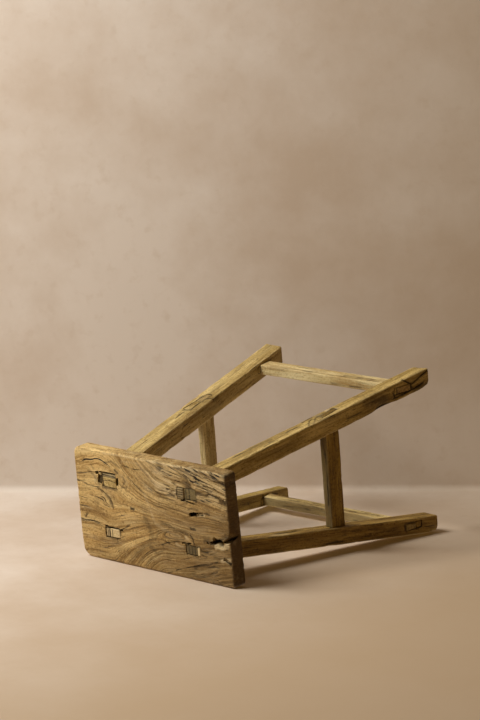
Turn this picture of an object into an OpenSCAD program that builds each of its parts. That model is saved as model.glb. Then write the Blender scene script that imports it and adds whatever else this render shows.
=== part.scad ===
// Milking stool: a thick plank seat on four splayed legs, held by two long and two short stretchers.
// Every joint is a through mortise and tenon, and every tenon is tightened by a wooden wedge.
// The stool stands on z = 0 with the origin under the middle of the seat, and X runs along the seat.
// A list of four values belongs to the legs in this order: front left, front right, rear left, rear right.

/* [Seat] */
// Height of the seat's top over the floor
stool_h = 500; // [440:5:540]
// Length of the seat, along X
seat_l = 347; // [320:1:380]
// Depth of the seat, along Y
seat_w = 192; // [180:1:230]
// Thickness of the seat plank
seat_t = 29; // [24:1:36]
// Radius of the seat's two right-hand corners
corner_r_right = 15; // [6:1:24]
// Radius of the seat's two left-hand corners
corner_r_left = 6; // [4:1:24]
// Radius worn on the seat's long and short edges
seat_edge_r = 4; // [2:0.5:6]

/* [Legs] */
// Width of each leg, along X
leg_wide = [30.5, 38, 31, 25]; // [24:0.5:42]
// Depth of each leg, along Y
leg_deep = [32, 32, 30.5, 25.5]; // [24:0.5:36]
// Distance of each leg's axis from the middle at the seat's top, along X
head_x = [88, 94, 86, 92]; // [82:1:100]
// Distance of each leg's axis from the middle at the seat's top, along Y
head_y = [55, 47, 50, 47]; // [46:1:60]
// Distance of each foot from the middle, along X
foot_x = [171, 166.5, 169, 173]; // [150:0.5:185]
// Distance of each foot from the middle, along Y
foot_y = [130, 130, 132, 132.5]; // [115:0.5:145]
// Radius worn on the legs' long edges
leg_edge_r = 3; // [1:0.5:4]

/* [Seat joints] */
// Size of each leg's tenon along X
head_tenon_x = [26, 31, 25, 22]; // [20:0.5:32]
// Size of each leg's tenon along Y
head_tenon_y = [18, 16, 15, 15]; // [14:0.5:20]
// Shift of each tenon from its leg's axis, along X
head_shift_x = [-1, 0, 2, -0.5]; // [-2:0.5:2]
// Shift of each tenon from its leg's axis, along Y
head_shift_y = [6, 5, -5, -2]; // [-6:0.5:6]
// Direction of each seat wedge from its tenon, turned from +X
head_wedge_turn = [0, -90, 180, 0]; // [-180:90:180]
// Thickness of each seat wedge at the top
head_wedge_t = [12, 6, 5.5, 9]; // [4:0.5:13]

/* [Stretchers] */
// Height of the long stretchers' axis over the floor, at each leg
long_z = [56, 56, 60, 70]; // [50:1:90]
// Height of the short stretchers' axis over the floor, at each leg
short_z = [207, 220, 207, 220]; // [180:1:250]
// Section height of the front and of the rear long stretcher
long_h = [31, 23]; // [20:0.5:34]
// Section height of the left and of the right short stretcher
short_h = [35, 29]; // [24:0.5:38]
// Thickness of the long stretchers
long_t = 18.5; // [15:0.5:21]
// Thickness of the short stretchers
short_t = 16; // [14:0.5:19]
// Thickness of the stretchers' tenons
tenon_t = 11; // [8:0.5:12]
// Height of the long stretchers' wedge blocks at each leg, below zero where it sits under the tenon
long_wedge_h = [5, 6, -11, 7]; // [-12:0.5:12]
// Height of the short stretchers' wedge blocks at each leg
short_wedge_h = [10, 32, 8, 8]; // [5:0.5:34]

/* [Hidden] */
$fn = 48;
// Positions in the lists of four
FL = 0;
FR = 1;
RL = 2;
RR = 3;
side_x = [-1, 1, -1, 1];
side_y = [-1, -1, 1, 1];
// Gap left round a joint
fit = 0.15;
// How far bars and cutters run past what they cut
over = 60;
// Part of its thickness that a seat wedge keeps at its thin end
wedge_thin = 0.45;
// How much a stretcher's wedge block thins over its own length
block_taper = 1.6;
// Radius on the stretchers' long edges
rail_edge_r = 2.5;
seat_z = stool_h - seat_t;

seat_color = [0.62, 0.46, 0.27];
leg_color = [0.60, 0.43, 0.22];
long_color = [0.74, 0.64, 0.42];
short_color = [0.47, 0.33, 0.17];
wedge_color = [0.70, 0.62, 0.42];

// Points on a leg's axis: at the seat's top, at the floor and at any height between
function head(i) = [side_x[i] * head_x[i], side_y[i] * head_y[i], stool_h];
function foot(i) = [side_x[i] * foot_x[i], side_y[i] * foot_y[i], 0];
function leg_at(i, z) = foot(i) + (head(i) - foot(i)) * z / stool_h;
function leg_len(i) = norm(head(i) - foot(i));

// Rectangle round the origin with rounded corners
module round_rect(x, y, r) {
    square([x - 2 * r, y], center = true);
    square([x, y - 2 * r], center = true);
    for (sx = [-1, 1])
        for (sy = [-1, 1])
            translate([sx * (x / 2 - r), sy * (y / 2 - r)])
                circle(r);
}

// Everything between two heights
module slab(low, high) {
    translate([-2 * seat_l, -2 * seat_l, low])
        cube([4 * seat_l, 4 * seat_l, high - low]);
}

// Puts its children on a leg: the local Z axis runs up the leg from its foot
module on_leg(i) {
    d = head(i) - foot(i);
    translate(foot(i))
        rotate([-asin(d[1] / norm(d)), atan2(d[0], d[2]), 0])
            children();
}

// Puts its children on the line from p to q, with the local X axis along it and Z upwards
module on_line(p, q) {
    d = q - p;
    translate(p)
        rotate([0, -atan2(d[2], norm([d[0], d[1]])), atan2(d[1], d[0])])
            children();
}

// A leg's bar, longer than the leg at both ends
module leg_bar(i, grow = 0) {
    on_leg(i)
        translate([0, 0, -over])
            linear_extrude(leg_len(i) + 2 * over)
                round_rect(leg_wide[i] + 2 * grow, leg_deep[i] + 2 * grow, leg_edge_r + grow);
}

// The tenon on a leg's head, and with a gap its mortise in the seat
module head_tenon(i, gap = 0) {
    on_leg(i)
        translate([head_shift_x[i], head_shift_y[i], leg_len(i) - over / 2])
            cube([head_tenon_x[i] + 2 * gap, head_tenon_y[i] + 2 * gap, 2 * over], center = true);
}

// The wedge beside that tenon, thick at the top, and with a gap its slot in the seat
module head_wedge(i, gap = 0) {
    turn = head_wedge_turn[i];
    along_x = abs(turn) != 90;
    reach = (along_x ? head_tenon_x[i] : head_tenon_y[i]) / 2;
    across = along_x ? head_tenon_y[i] : head_tenon_x[i];
    t = head_wedge_t[i];
    slope = t * (1 - wedge_thin) / seat_t;
    // Heights are counted from the leg's head: the wedge runs from above the seat to below it
    rise = seat_t;
    on_leg(i)
        translate([head_shift_x[i], head_shift_y[i], leg_len(i)])
            rotate([0, 0, turn])
                translate([reach + fit - gap, across / 2 + gap, 0])
                    rotate([90, 0, 0])
                        linear_extrude(across + 2 * gap)
                            polygon([
                                [0, rise],
                                [0, -2 * rise],
                                [max(t - 2 * rise * slope, 0) + 2 * gap, -2 * rise],
                                [t + rise * slope + 2 * gap, rise]
                            ]);
}

// A stretcher's bar from one leg's axis to another's, longer than the stretcher at both ends
module rail_bar(p, q, h, t) {
    on_line(p, q)
        translate([-over, 0, 0])
            rotate([90, 0, 90])
                linear_extrude(norm(q - p) + 2 * over)
                    round_rect(t, h, rail_edge_r);
}

// The bar that both tenons of a stretcher are cut from
module rail_tenon(p, q, h) {
    on_line(p, q)
        translate([-over, -tenon_t / 2, -h / 2])
            cube([norm(q - p) + 2 * over, tenon_t, h]);
}

// The mortise for a stretcher's end: room for the tenon and for the wedge block on top of it or under it
module rail_mortise(p, q, h, wedge_h) {
    low = -h / 2 - fit + min(wedge_h, 0);
    high = h / 2 + fit + max(wedge_h, 0);
    on_line(p, q)
        translate([-over, -tenon_t / 2 - fit, low])
            cube([2 * over, tenon_t + 2 * fit, high - low]);
}

// All that lies outside a leg, past the face that a tenon comes out of
module outside_leg(i, turn) {
    reach = (turn == 0 || turn == 180 ? leg_wide[i] : leg_deep[i]) / 2;
    on_leg(i)
        rotate([0, 0, turn])
            translate([reach, -over, -over])
                cube([3 * over, 2 * over, leg_len(i) + 2 * over]);
}

// A stretcher between two legs: shouldered against their inner faces, its tenons flush with the outer faces
module rail(a, b, z, h, t, turn_a, turn_b) {
    p = leg_at(a, z[a]);
    q = leg_at(b, z[b]);
    difference() {
        union() {
            intersection() {
                rail_tenon(p, q, h);
                union() {
                    between_legs(p, q, h, t);
                    leg_bar(a, fit);
                    leg_bar(b, fit);
                }
            }
            difference() {
                between_legs(p, q, h, t);
                leg_bar(a, fit);
                leg_bar(b, fit);
            }
        }
        outside_leg(a, turn_a);
        outside_leg(b, turn_b);
    }
}

// The stretcher's bar without what would stick out past the two legs' axes
module between_legs(p, q, h, t) {
    intersection() {
        rail_bar(p, q, h, t);
        on_line(p, q)
            translate([0, -over, -over])
                cube([norm(q - p), 2 * over, 2 * over]);
    }
}

// A wedge block above or below a stretcher's tenon, driven in from the leg's outer face
module rail_wedge(i, p, q, h, wedge_h) {
    up = sign(wedge_h);
    size = abs(wedge_h);
    thin = block_taper * over / leg_wide[i];
    intersection() {
        leg_bar(i);
        on_line(p, q)
            translate([0, tenon_t / 2, 0])
                rotate([90, 0, 0])
                    linear_extrude(tenon_t)
                        polygon([
                            [-over, up * (h / 2 + fit)],
                            [over, up * (h / 2 + fit)],
                            [over, up * (h / 2 + size - thin)],
                            [-leg_wide[i] / 2, up * (h / 2 + size)],
                            [-over, up * (h / 2 + size)]
                        ]);
    }
}

// The plank: its plan, its front profile and its side profile, cut through each other
module seat_plank() {
    r_side = seat_edge_r;
    translate([0, 0, seat_z])
        intersection() {
            linear_extrude(seat_t)
                union() {
                    square([seat_l - 2 * corner_r_right, seat_w], center = true);
                    translate([-seat_l / 2, -seat_w / 2 + corner_r_left])
                        square([seat_l / 2, seat_w - 2 * corner_r_left]);
                    translate([-seat_l / 2 + corner_r_left, -seat_w / 2])
                        square([seat_l / 2, seat_w]);
                    translate([0, -seat_w / 2 + corner_r_right])
                        square([seat_l / 2, seat_w - 2 * corner_r_right]);
                    for (sy = [-1, 1]) {
                        translate([seat_l / 2 - corner_r_right, sy * (seat_w / 2 - corner_r_right)])
                            circle(corner_r_right);
                        translate([-seat_l / 2 + corner_r_left, sy * (seat_w / 2 - corner_r_left)])
                            circle(corner_r_left);
                    }
                }
            translate([0, seat_w, seat_t / 2])
                rotate([90, 0, 0])
                    linear_extrude(2 * seat_w)
                        round_rect(seat_l, seat_t, r_side);
            translate([-seat_l, 0, seat_t / 2])
                rotate([90, 0, 90])
                    linear_extrude(2 * seat_l)
                        round_rect(seat_w, seat_t, r_side);
        }
}

module seat() {
    color(seat_color)
        difference() {
            seat_plank();
            for (i = [FL, FR, RL, RR]) {
                head_tenon(i, fit);
                head_wedge(i, fit);
            }
        }
}

module leg(i) {
    neighbour_x = [FR, FL, RR, RL][i];
    neighbour_y = [RL, RR, FL, FR][i];
    color(leg_color)
        difference() {
            union() {
                intersection() {
                    leg_bar(i);
                    slab(0, seat_z);
                }
                intersection() {
                    head_tenon(i);
                    slab(seat_z - leg_edge_r, stool_h);
                }
            }
            rail_mortise(leg_at(i, long_z[i]), leg_at(neighbour_x, long_z[neighbour_x]),
                long_h[floor(i / 2)], long_wedge_h[i]);
            rail_mortise(leg_at(i, short_z[i]), leg_at(neighbour_y, short_z[neighbour_y]),
                short_h[i % 2], short_wedge_h[i]);
        }
}

module long_stretcher(a, b) {
    color(long_color)
        rail(a, b, long_z, long_h[floor(a / 2)], long_t, 180, 0);
}

module short_stretcher(a, b) {
    color(short_color)
        rail(a, b, short_z, short_h[a % 2], short_t, -90, 90);
}

module seat_wedge(i) {
    color(wedge_color)
        intersection() {
            head_wedge(i);
            slab(seat_z + 1, stool_h);
        }
}

module long_wedge(i, other) {
    color(wedge_color)
        rail_wedge(i, leg_at(i, long_z[i]), leg_at(other, long_z[other]),
            long_h[floor(i / 2)], long_wedge_h[i]);
}

module short_wedge(i, other) {
    color(wedge_color)
        rail_wedge(i, leg_at(i, short_z[i]), leg_at(other, short_z[other]),
            short_h[i % 2], short_wedge_h[i]);
}

seat();
leg(FL);  // leg_front_left
leg(FR);  // leg_front_right
leg(RL);  // leg_rear_left
leg(RR);  // leg_rear_right
long_stretcher(FL, FR);  // long_stretcher_front
long_stretcher(RL, RR);  // long_stretcher_rear
short_stretcher(FL, RL);  // short_stretcher_left
short_stretcher(FR, RR);  // short_stretcher_right
seat_wedge(FL);  // seat_wedge_front_left
seat_wedge(FR);  // seat_wedge_front_right
seat_wedge(RL);  // seat_wedge_rear_left
seat_wedge(RR);  // seat_wedge_rear_right
long_wedge(FL, FR);  // long_wedge_front_left
long_wedge(FR, FL);  // long_wedge_front_right
long_wedge(RL, RR);  // long_wedge_rear_left
long_wedge(RR, RL);  // long_wedge_rear_right
short_wedge(FL, RL);  // short_wedge_front_left
short_wedge(FR, RR);  // short_wedge_front_right
short_wedge(RL, FL);  // short_wedge_rear_left
short_wedge(RR, FR);  // short_wedge_rear_right
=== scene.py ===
import math
from itertools import product

import bmesh
import bpy
import numpy as np
from mathutils import Matrix, Vector


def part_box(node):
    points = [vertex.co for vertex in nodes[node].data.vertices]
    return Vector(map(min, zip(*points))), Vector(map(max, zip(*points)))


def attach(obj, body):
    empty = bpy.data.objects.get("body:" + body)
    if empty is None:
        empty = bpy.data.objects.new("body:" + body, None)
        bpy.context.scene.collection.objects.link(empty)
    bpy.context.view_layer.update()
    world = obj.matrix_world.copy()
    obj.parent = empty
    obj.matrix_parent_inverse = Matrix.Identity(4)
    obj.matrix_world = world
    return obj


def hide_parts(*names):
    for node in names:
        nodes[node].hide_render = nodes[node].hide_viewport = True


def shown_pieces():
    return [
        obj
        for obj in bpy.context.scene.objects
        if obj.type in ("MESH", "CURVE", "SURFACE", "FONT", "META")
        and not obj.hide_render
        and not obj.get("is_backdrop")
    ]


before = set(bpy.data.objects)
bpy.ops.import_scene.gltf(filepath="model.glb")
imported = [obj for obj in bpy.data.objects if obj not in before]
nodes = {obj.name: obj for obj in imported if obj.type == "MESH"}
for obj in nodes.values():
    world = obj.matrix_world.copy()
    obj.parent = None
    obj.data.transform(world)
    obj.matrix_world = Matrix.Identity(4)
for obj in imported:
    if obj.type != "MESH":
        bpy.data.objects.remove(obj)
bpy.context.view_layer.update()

MM = 0.001
SHARP_ANGLE = 38


def mm(*sizes):
    """Sizes given in millimetres, in metres."""
    return np.array(sizes) * MM


# ---------------------------------------------------------------- camera

# The stool lies on its long rear side in front of the camera, so the camera is rolled a quarter turn
CAMERA_AT = Vector((-3.1110, -1.3832, 3.4876))
CAMERA_AIM = Vector((0.2459, -0.1100, 0.0077))
CAMERA_UP = Vector((0.1138, -0.9634, -0.2427))
CAMERA_LENS = 139.07
CAMERA_SENSOR = 36.0
CAMERA_REACH = 60.0


def add_object(name, data):
    added = bpy.data.objects.new(name, data)
    bpy.context.collection.objects.link(added)
    return added


def view_axes(ahead, up):
    """The directions right, up and back for something that looks ahead."""
    ahead = ahead.normalized()
    right = ahead.cross(up).normalized()
    return right, right.cross(ahead), -ahead


def look_at(obj, at, aim, up):
    """Puts obj at a point, looking at another, with up towards the top of the picture."""
    turn = Matrix(view_axes(aim - at, up)).transposed()
    obj.matrix_world = Matrix.Translation(at) @ turn.to_4x4()


def make_camera():
    data = bpy.data.cameras.new("camera")
    data.lens = CAMERA_LENS
    data.sensor_width = CAMERA_SENSOR
    data.clip_end = CAMERA_REACH
    camera = add_object("camera", data)
    look_at(camera, CAMERA_AT, CAMERA_AIM, CAMERA_UP)
    bpy.context.scene.camera = camera


make_camera()

# ---------------------------------------------------------------- noise


# Large odd numbers that scramble a lattice point's place and the seed, and the bits that are kept
SCRAMBLE = (374761393, 668265263, 1440662683, 1274126177)
WORD = 0xFFFFFFFF
HALF_WORD = 0xFFFF


def lattice(i, j, k, seed):
    """A fixed pseudo-random number from -1 to 1 for each lattice point."""
    h = sum(part * factor for part, factor in zip((i, j, k, seed), SCRAMBLE)) & WORD
    h = ((h ^ (h >> 13)) * SCRAMBLE[3]) & WORD
    return ((h ^ (h >> 16)) & HALF_WORD) / (HALF_WORD / 2) - 1.0


def noise(points, cell, seed):
    """Smooth noise from -1 to 1 at each point. cell is the size of its bumps, or its size along each axis."""
    p = np.asarray(points) / np.asarray(cell)
    base = np.floor(p).astype(np.int64)
    f = p - base
    f = f * f * f * (f * (f * 6 - 15) + 10)
    total = np.zeros(len(p))
    for corner in range(8):
        bits = np.array([corner & 1, corner >> 1 & 1, corner >> 2 & 1])
        weight = np.prod(np.where(bits, f, 1 - f), axis=1)
        i, j, k = (base + bits).T
        total += weight * lattice(i, j, k, seed)
    return total


def layers(points, cell, seed, count=3):
    """Noise with count layers, each half the size and half the height of the one before."""
    cell = np.asarray(cell, float)
    total = sum(noise(points, cell / 2 ** n, seed + n) / 2 ** n for n in range(count))
    return total / (2 - 2 / 2 ** count)


def smoothstep(low, high, x):
    t = np.clip((x - low) / (high - low), 0, 1)
    return t * t * (3 - 2 * t)


# ---------------------------------------------------------------- mesh helpers


def new_piece(name, points, faces):
    mesh = bpy.data.meshes.new(name)
    mesh.from_pydata(np.asarray(points).tolist(), [], faces)
    mesh.update()
    return add_object(name, mesh)


def outward(piece):
    """Turns every face outwards."""
    shape = bmesh.new()
    shape.from_mesh(piece.data)
    bmesh.ops.recalc_face_normals(shape, faces=shape.faces)
    shape.to_mesh(piece.data)
    shape.free()
    return piece


def points_of(piece):
    flat = np.empty(len(piece.data.vertices) * 3)
    piece.data.vertices.foreach_get("co", flat)
    return flat.reshape(-1, 3)


def apply_boolean(piece, operation, **operand):
    """Joins a piece with the operand or cuts the operand out of it, and keeps the result as its mesh."""
    boolean = piece.modifiers.new("boolean", "BOOLEAN")
    boolean.operation = operation
    boolean.solver = "MANIFOLD"
    for name, value in operand.items():
        setattr(boolean, name, value)
    done = piece.evaluated_get(bpy.context.evaluated_depsgraph_get())
    mesh = bpy.data.meshes.new_from_object(done)
    piece.modifiers.clear()
    piece.data = mesh


def join_solids(piece, other):
    """Makes one closed solid of two, and removes the second."""
    apply_boolean(piece, "UNION", object=other)
    bpy.data.objects.remove(other)


def cut(piece, cutters):
    """Takes the cutters away from piece, and removes them."""
    group = bpy.data.collections.new("cutters")
    for cutter in cutters:
        group.objects.link(cutter)
    apply_boolean(piece, "DIFFERENCE", operand_type="COLLECTION", collection=group)
    for cutter in cutters:
        bpy.data.objects.remove(cutter)
    bpy.data.collections.remove(group)
    drop_shards(piece)


def drop_shards(piece):
    """Keeps only the largest connected part, without the small bits that cuts can leave loose."""
    shape = bmesh.new()
    shape.from_mesh(piece.data)
    seen = set()
    parts = []
    for start in shape.verts:
        if start in seen:
            continue
        seen.add(start)
        part = [start]
        for vertex in part:
            for edge in vertex.link_edges:
                other = edge.other_vert(vertex)
                if other not in seen:
                    seen.add(other)
                    part.append(other)
        parts.append(part)
    largest = max(parts, key=len)
    loose = [vertex for part in parts if part is not largest for vertex in part]
    bmesh.ops.delete(shape, geom=loose, context="VERTS")
    shape.to_mesh(piece.data)
    shape.free()


def shade(piece):
    """Smooth shading, with sharp edges at every clear corner."""
    piece.data.shade_smooth()
    piece.data.set_sharp_from_angle(angle=math.radians(SHARP_ANGLE))


def number(piece, name, values):
    """Stores one number per point for the materials."""
    layer = piece.data.attributes.new(name, "FLOAT", "POINT")
    layer.data.foreach_set("value", np.asarray(values, np.float32))


def vector(piece, name, values):
    """Stores one vector per point for the materials."""
    layer = piece.data.attributes.new(name, "FLOAT_VECTOR", "POINT")
    layer.data.foreach_set("vector", np.asarray(values, np.float32).ravel())


def finish_piece(piece, node, material):
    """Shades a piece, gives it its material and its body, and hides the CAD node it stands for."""
    shade(piece)
    piece.data.materials.clear()
    piece.data.materials.append(material)
    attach(piece, "root")
    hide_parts(node)


# ---------------------------------------------------------------- frames read from the CAD model

LEGS = ("front_left", "front_right", "rear_left", "rear_right")
# How near to a level its points are, and how much of a stretcher is read as its end
LEVEL_SLACK = 0.3 * MM
RAIL_END = 8 * MM


def unit(vector_in):
    return vector_in / np.linalg.norm(vector_in)


def to_world(frame_in, local):
    return frame_in[0] + local @ frame_in[1]


def to_local(frame_in, points):
    return (points - frame_in[0]) @ frame_in[1].T


def level_box(points, height):
    """Lowest and highest corner of the points at one height."""
    found = points[abs(points[:, 2] - height) < LEVEL_SLACK]
    return found.min(0), found.max(0)


seat_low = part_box("seat")[0].z
seat_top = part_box("seat")[1].z


def leg_frame(leg):
    """A leg's origin at its foot, its axes (up the leg, along X, along Y) and its section along X and Y."""
    cad = points_of(nodes["leg_" + leg])
    foot_low, foot_high = level_box(cad, 0)
    head_low, head_high = level_box(cad, seat_low)
    foot = (foot_low + foot_high) / 2
    up = unit((head_low + head_high) / 2 - foot)
    side = unit(np.array([up[2], 0, -up[0]]))
    deep = np.cross(up, side)
    local = to_local((foot, np.array([up, side, deep])), cad)
    size = local.max(0) - local.min(0)
    return (foot, np.array([up, side, deep])), size[1:]


def rail_frame(name, axis):
    """A stretcher's origin and axes (along, across, up), its three sizes, and its tenon's width."""
    cad = points_of(nodes[name])
    order = cad[:, axis]
    end_a = cad[order < order.min() + RAIL_END].mean(0)
    end_b = cad[order > order.max() - RAIL_END].mean(0)
    along = unit(end_b - end_a)
    across = unit(np.cross([0, 0, 1], along))
    axes = np.array([along, across, np.cross(along, across)])
    local = to_local((end_a, axes), cad)
    size = local.max(0) - local.min(0)
    end = local[local[:, 0] < RAIL_END]
    tenon = end.max(0)[1] - end.min(0)[1]
    return (end_a, axes), size, tenon


leg_place = {leg: leg_frame(leg) for leg in LEGS}
# Each stretcher's first and last leg, and the axis it runs along
RAILS = {
    "long_stretcher_front": ("front_left", "front_right", 0),
    "long_stretcher_rear": ("rear_left", "rear_right", 0),
    "short_stretcher_left": ("front_left", "rear_left", 1),
    "short_stretcher_right": ("front_right", "rear_right", 1),
}
rail_place = {name: rail_frame(name, axis) for name, (*_, axis) in RAILS.items()}


def leg_plane(leg, axis, outer):
    """A point on a leg's face, and the face's direction. axis is 0 for the faces along X and 1 for Y."""
    (foot, axes), size = leg_place[leg]
    to_low = leg.endswith("left") if axis == 0 else leg.startswith("front")
    way = -1 if to_low == outer else 1
    normal = axes[1 + axis] * way
    return foot + normal * size[axis] / 2, normal


# ---------------------------------------------------------------- lofted bars

ARC_STEPS = 4
NOSE_STEPS = 3
# How much of the way to the middle of a bar's end its innermost ring is
CAP_REACH = 0.93


def ring(size, radius, step):
    """Points round a rectangle with rounded corners, and the direction that each faces."""
    half = np.array(size) / 2 - radius
    signs = [(1, 1), (-1, 1), (-1, -1), (1, -1)]
    points = []
    facing = []
    for quarter, sign in enumerate(signs):
        for n in range(ARC_STEPS + 1):
            angle = (quarter + n / ARC_STEPS) * math.pi / 2
            way = np.array([math.cos(angle), math.sin(angle)])
            points.append(half * sign + radius * way)
            facing.append(way)
        last = points[-1]
        following = half * signs[(quarter + 1) % 4] + radius * way
        count = math.ceil(np.linalg.norm(following - last) / step)
        for n in range(1, count):
            points.append(last + (following - last) * n / count)
            facing.append(way)
    return np.array(points), np.array(facing)


def along_to(frame_in, plane, flat):
    """How far along the frame's first axis each point of a section meets a plane."""
    origin, axes = frame_in
    point, normal = plane
    slope = axes @ normal
    return ((point - origin) @ normal - flat @ slope[1:]) / slope[0]


def tube_faces(count, rings):
    """Faces of a closed tube made of rings with count points each."""
    last = count * (rings - 1)
    faces = [list(range(count)), list(range(last, last + count))]
    for k in range(0, last, count):
        for n in range(count):
            m = (n + 1) % count
            faces.append([k + n, k + m, k + count + m, k + count + n])
    return faces


def loft_stations(half, length, step, along, nose):
    """The rings of a bar: the share of its length, a shift along it, and how far each ring is pulled in."""
    cap_rings = max(3, int(min(half) / (0.75 * step)))
    cap = [(0, inset) for inset in np.linspace(min(half) * CAP_REACH, nose, cap_rings, endpoint=False)]
    for n in range(NOSE_STEPS + 1):
        angle = math.pi / 2 * n / NOSE_STEPS
        cap.append((nose * (1 - math.cos(angle)), nose * (1 - math.sin(angle))))
    stations = [(0, shift, inset) for shift, inset in cap]
    steps = max(4, int(length / along))
    stations += [(t, nose * (1 - 2 * t), 0) for t in np.linspace(0, 1, steps + 1)[1:-1]]
    return stations + [(1, -shift, inset) for shift, inset in reversed(cap)]


def loft(name, frame_in, middle, size, radius, low, high,
         step=2.4 * MM, along=2.6 * MM, nose=1 * MM, wear=None):
    """A closed bar between two planes. wear gives how far each point moves inwards."""
    flat, facing = ring(size, radius, step)
    half = np.array(size) / 2
    length = np.mean(along_to(frame_in, high, flat) - along_to(frame_in, low, flat))
    stations = loft_stations(half, length, step, along, nose)
    share, shift, inset = (np.repeat(column, len(flat)) for column in np.array(stations).T)
    scale = (half - inset[:, None]) / half
    section = np.array(middle) + np.tile(flat, (len(stations), 1)) * scale

    def placed():
        start = along_to(frame_in, low, section)
        end = along_to(frame_in, high, section)
        return np.column_stack([start * (1 - share) + end * share + shift, section])

    local = placed()
    if wear:
        centred = local - np.array([0, *middle])
        section = section - np.tile(facing, (len(stations), 1)) * scale * wear(centred)[:, None]
        local = placed()
    faces = tube_faces(len(flat), len(stations))
    return outward(new_piece(name, to_world(frame_in, local), faces))


def box_lattice(counts):
    """Points of a box from -1 to 1 with a grid on each face, and its faces."""
    index = {}
    points = []
    faces = []

    def corner(key):
        if key not in index:
            index[key] = len(points)
            points.append([2 * key[n] / counts[n] - 1 for n in range(3)])
        return index[key]

    for axis in range(3):
        u, v = [n for n in range(3) if n != axis]
        for side in (0, counts[axis]):
            for i, j in product(range(counts[u]), range(counts[v])):
                face = []
                for du, dv in ((0, 0), (1, 0), (1, 1), (0, 1)):
                    key = [side, side, side]
                    key[u], key[v] = i + du, j + dv
                    face.append(corner(tuple(key)))
                faces.append(face)
    return np.array(points), faces


def rough_box(frame_in, low, high, step=3 * MM, rough=0.3 * MM, seed=5):
    """A box between two corners in a frame, with uneven faces."""
    low = np.array(low)
    high = np.array(high)
    counts = [max(1, int(n)) for n in (high - low) / step]
    points, faces = box_lattice(counts)
    local = low + (points + 1) / 2 * (high - low)
    world = to_world(frame_in, local)
    sway = [layers(world, 6 * MM, seed + n, 2) for n in range(3)]
    return outward(new_piece("cutter", world + rough * np.array(sway).T, faces))


def refined(path, step):
    """A path with points about one step apart."""
    path = np.array(path)
    fine = [path[0]]
    for a, b in zip(path[:-1], path[1:]):
        count = max(1, round(np.linalg.norm(b - a) / step))
        fine += [a + (b - a) * n / count for n in range(1, count + 1)]
    return np.array(fine)


CRACK_STEP = 3 * MM


def crack(path, facing, width, depth, seed=3):
    """A cutter for a crack: a ragged wedge along path, open at the surface and closed at its ends."""
    facing = np.array(facing)
    fine = refined(path, CRACK_STEP)
    side = np.cross(np.gradient(fine, axis=0), facing)
    side /= np.linalg.norm(side, axis=1)[:, None]
    t = np.linspace(0, 1, len(fine))
    taper = np.maximum(np.sin(np.pi * (0.04 + 0.92 * t)) ** 0.6, 0.12)
    ragged = np.clip(0.85 + 0.9 * noise(fine, 6 * MM, seed), 0.2, 1.5)
    wander = noise(fine, 7 * MM, seed + 1) * (0.35 * width + 0.7 * MM)
    half = (width / 2 * taper * ragged)[:, None]
    fine = fine + side * wander[:, None]
    top = facing * 1.5 * MM
    edges = [fine + side * half + top, fine - side * half + top, fine - facing * depth * taper[:, None]]
    points = np.stack(edges, axis=1).reshape(-1, 3)
    return outward(new_piece("cutter", points, tube_faces(len(edges), len(fine))))


# ---------------------------------------------------------------- wear and marks


def worn(size, seed, wobble=0.45 * MM, chips=0.9 * MM, hollows=()):
    """How far a hand-made bar is worn inwards: uneven planing, raised fibres, chipped edges and hollows."""
    half = np.array(size) / 2

    def wear(local):
        corner = np.linalg.norm(np.maximum(half - np.abs(local[:, 1:]), 0), axis=1)
        edge = 1 - smoothstep(0, 5 * MM, corner)
        inward = wobble * (1 + layers(local, mm(70, 24, 24), seed))
        inward += 0.16 * MM * (1 + layers(local, mm(30, 3.4, 3.4), seed + 7, 2))
        bite = smoothstep(0.1, 0.7, layers(local, mm(15, 8, 8), seed + 13))
        inward += chips * edge * bite
        for centre, reach, depth in hollows:
            away = (local - mm(*centre)) / mm(*reach)
            inward += depth * MM * np.exp(-(away ** 2).sum(axis=1))
        return inward

    return wear


def stroke(points, path, width, seed=1):
    """1 on a ragged line through path, and 0 beyond its width. Works in two or three dimensions."""
    path = np.array(path, float)
    away = np.full(len(points), 1e9)
    for a, b in zip(path[:-1], path[1:]):
        run = b - a
        t = np.clip(((points - a) @ run) / (run @ run), 0, 1)
        away = np.minimum(away, np.linalg.norm(points - a - t[:, None] * run, axis=1))
    grain = points if points.shape[1] == 3 else np.column_stack([points, np.zeros(len(points))])
    away = away * (1 + 0.6 * layers(grain, 6 * MM, seed, 3))
    return 1 - smoothstep(0.1 * width, 0.7 * width, away)


def paint(base, mask, strength=1.0):
    """Adds a mask to a mark, up to 1."""
    return np.maximum(base, mask * strength)


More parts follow.
